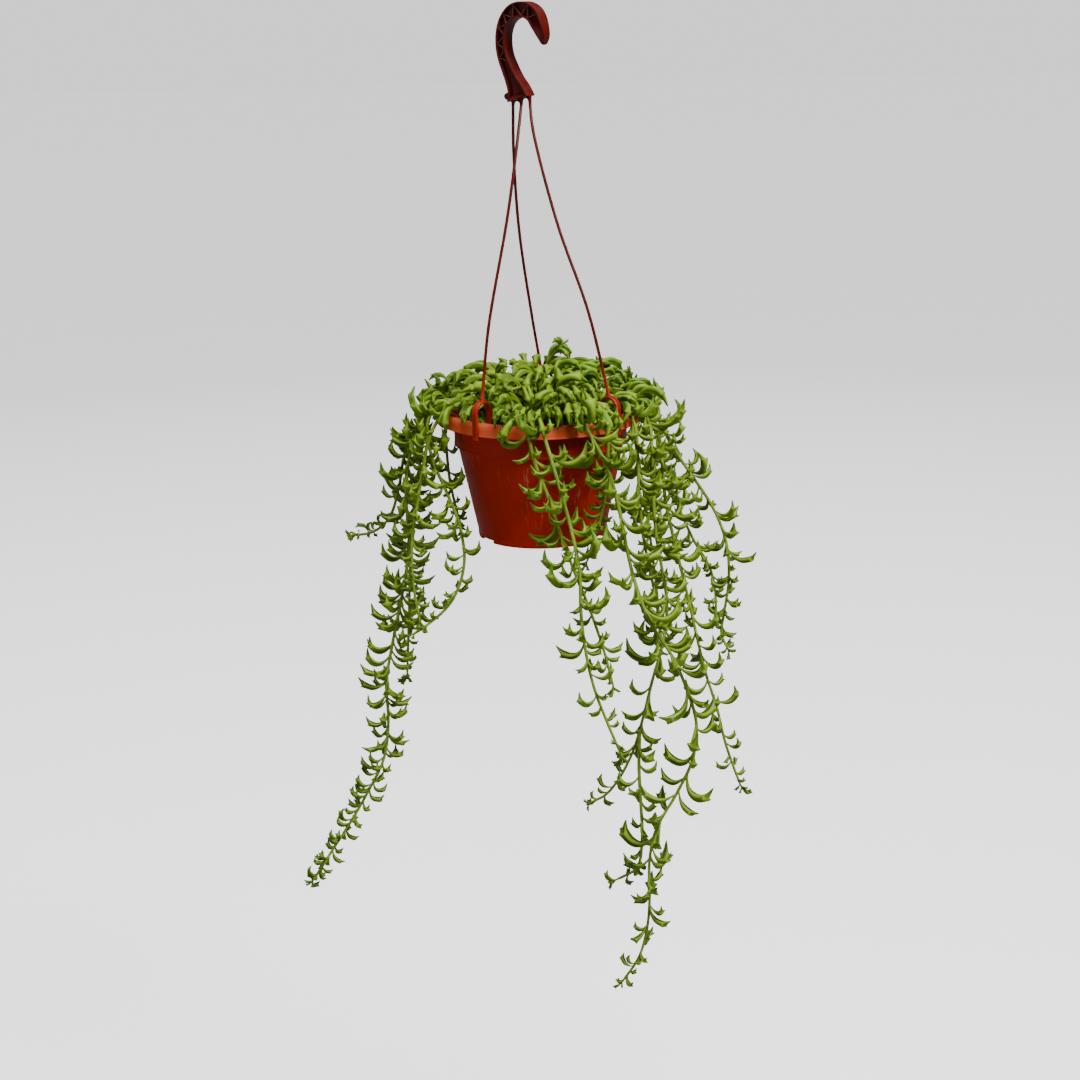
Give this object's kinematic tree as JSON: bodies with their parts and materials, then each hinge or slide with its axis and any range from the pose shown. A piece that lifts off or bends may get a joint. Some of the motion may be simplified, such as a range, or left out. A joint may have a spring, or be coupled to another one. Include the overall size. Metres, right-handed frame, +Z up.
{
  "type": "potted trailing succulent",
  "caption": "Trailing succulent with hooked, finned leaves on long hanging stems, in a brown-red plastic pot with a clip-on hanger.",
  "frame": {"origin": "seat of the hook, the lowest point of the inner side of its arc, where a rod or nail carries the hanging pot", "axes": "+Z up, from the pot to the hook; +X to the right and -Y towards the viewer, with the pot seen from the front"},
  "size_m": [0.347, 0.2462, 0.7226],
  "materials": {
    "terracotta_plastic": "brick-red moulded plastic with a low sheen and pale water marks",
    "hanger_plastic": "dark red-brown moulded plastic, smooth with a low sheen",
    "potting_soil": "dark crumbly peat and bark mix, rough and matt",
    "string_leaf": "fleshy bright green leaf, smooth and waxy"
  },
  "bodies": {
    "root": {"hanger": "hanger_plastic", "pot": "terracotta_plastic", "shoot_01": "string_leaf", "shoot_02": "string_leaf", "shoot_03": "string_leaf", "shoot_04": "string_leaf", "shoot_05": "string_leaf", "shoot_06": "string_leaf", "shoot_07": "string_leaf", "shoot_08": "string_leaf", "shoot_09": "string_leaf", "shoot_10": "string_leaf", "shoot_11": "string_leaf", "shoot_12": "string_leaf", "shoot_13": "string_leaf", "shoot_14": "string_leaf", "shoot_15": "string_leaf", "shoot_16": "string_leaf", "shoot_17": "string_leaf", "shoot_18": "string_leaf", "shoot_upright": "string_leaf", "soil": "potting_soil", "strand_back_left": "string_leaf", "strand_back_middle": "string_leaf", "strand_back_right": "string_leaf", "strand_front_left": "string_leaf", "strand_front_middle": "string_leaf", "strand_left_back": "string_leaf", "strand_left_behind": "string_leaf", "strand_left_front": "string_leaf", "strand_left_inner": "string_leaf", "strand_left_long": "string_leaf", "strand_left_outer": "string_leaf", "strand_right_back": "string_leaf", "strand_right_behind": "string_leaf", "strand_right_front": "string_leaf", "strand_right_inner": "string_leaf", "strand_right_long": "string_leaf", "strand_right_middle": "string_leaf", "strand_right_outer": "string_leaf", "strand_right_sweep": "string_leaf"}
  },
  "joints": []
}
